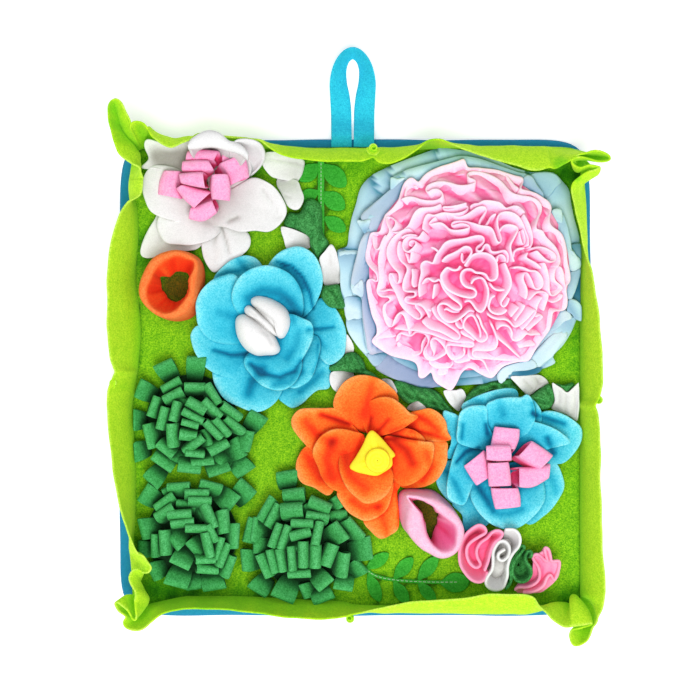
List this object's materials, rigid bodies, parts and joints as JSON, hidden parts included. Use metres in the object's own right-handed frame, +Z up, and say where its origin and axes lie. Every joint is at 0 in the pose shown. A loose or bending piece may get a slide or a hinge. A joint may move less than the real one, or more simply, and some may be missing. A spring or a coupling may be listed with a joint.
{
  "type": "snuffle mat",
  "caption": "Soft square foraging mat: a padded fleece tray with a standing fence, felt flowers, ruffles and loop pompoms to hide dry treats in, and a ribbon loop to hang it by.",
  "frame": {"origin": "centre of the backing pad's flat underside, on the surface the mat lies on", "axes": "+Z up, +Y towards the edge with the hanging loop, +X to the right seen from above"},
  "size_m": [0.464, 0.56, 0.0636],
  "materials": {
    "backing_fabric": "matt",
    "lime_fleece": "matt",
    "sky_ribbon": "matt",
    "twig_felt": "matt",
    "vine_fleece": "matt",
    "white_felt": "matt",
    "pompom_fleece": "matt",
    "blue_felt": "matt",
    "pale_blue_felt": "matt",
    "pink_fleece": "matt",
    "rose_fleece": "matt",
    "orange_felt": "matt",
    "yellow_felt": "matt"
  },
  "bodies": {
    "root": {"backing_pad": "backing_fabric", "top_panel": "lime_fleece", "fence": "lime_fleece", "tuck_front": "lime_fleece", "tuck_right": "lime_fleece", "tuck_back": "lime_fleece", "tuck_left": "lime_fleece", "hanging_loop": "sky_ribbon", "twig_back": "twig_felt", "twig_front": "twig_felt", "vine_a": "vine_fleece", "vine_b": "vine_fleece", "vine_c": "vine_fleece", "vine_d": "vine_fleece", "vine_e": "vine_fleece", "small_ruffle_green": "vine_fleece", "leaf_a": "white_felt", "leaf_b": "white_felt", "leaf_c": "white_felt", "leaf_d": "white_felt", "leaf_e": "white_felt", "leaf_f": "white_felt", "leaf_g": "white_felt", "leaf_h": "white_felt", "leaf_i": "white_felt", "leaf_j": "white_felt", "white_flower_outer": "white_felt", "white_flower_inner": "white_felt", "blue_flower_a_puff": "white_felt", "small_ruffle_white": "white_felt", "pompom_back": "pompom_fleece", "pompom_front_left": "pompom_fleece", "pompom_front_right": "pompom_fleece", "blue_flower_a_outer": "blue_felt", "blue_flower_a_inner": "blue_felt", "blue_flower_b_outer": "blue_felt", "blue_flower_b_inner": "blue_felt", "peony_disc_lower": "pale_blue_felt", "peony_disc_upper": "pale_blue_felt", "peony_ruffle_1": "pink_fleece", "peony_ruffle_2": "pink_fleece", "peony_ruffle_3": "pink_fleece", "peony_ruffle_4": "pink_fleece", "peony_ruffle_5": "pink_fleece", "peony_ruffle_6": "pink_fleece", "peony_ruffle_7": "pink_fleece", "pink_cup": "pink_fleece", "small_ruffle_pink": "pink_fleece", "white_flower_loops": "rose_fleece", "blue_flower_b_loops": "rose_fleece", "small_ruffle_rose": "rose_fleece", "orange_cup": "orange_felt", "orange_flower_outer": "orange_felt", "orange_flower_inner": "orange_felt", "orange_flower_roll": "yellow_felt"}
  },
  "joints": []
}
